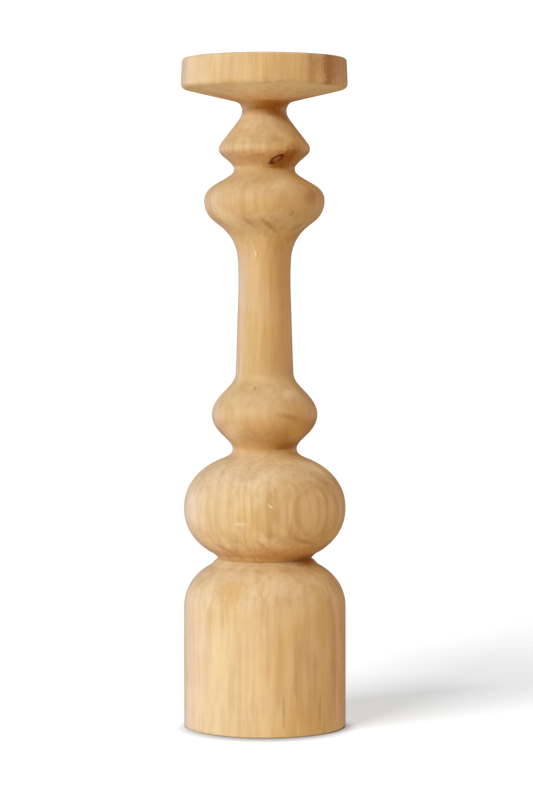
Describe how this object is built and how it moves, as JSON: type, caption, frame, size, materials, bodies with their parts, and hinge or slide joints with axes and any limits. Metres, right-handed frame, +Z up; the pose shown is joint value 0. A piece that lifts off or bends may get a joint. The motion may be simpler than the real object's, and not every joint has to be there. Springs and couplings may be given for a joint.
{
  "type": "candlestick",
  "caption": "Turned pale-wood candlestick: domed drum foot, ball, slim shaft with rounded beads, and a shallow dish on top for a pillar candle.",
  "frame": {"origin": "centre of the footprint, on the surface that the candlestick stands on", "axes": "+Z up along the turning axis, from the foot to the dish; +X and +Y are alike because the shape is turned"},
  "size_m": [0.0996, 0.0996, 0.4],
  "materials": {
    "turned_wood": "fine-sanded, satin clear wax, pale solid wood with a fine straight grain",
    "dowel_wood": "raw beech with rolled flutes",
    "felt": "short matted wool felt"
  },
  "bodies": {
    "root": {"base_drum": "turned_wood", "ball": "turned_wood", "stem": "turned_wood", "bead": "turned_wood", "dish": "turned_wood", "drum_dowel": "dowel_wood", "ball_dowel": "dowel_wood", "top_dowel": "dowel_wood", "felt_pad": "felt"}
  },
  "joints": []
}
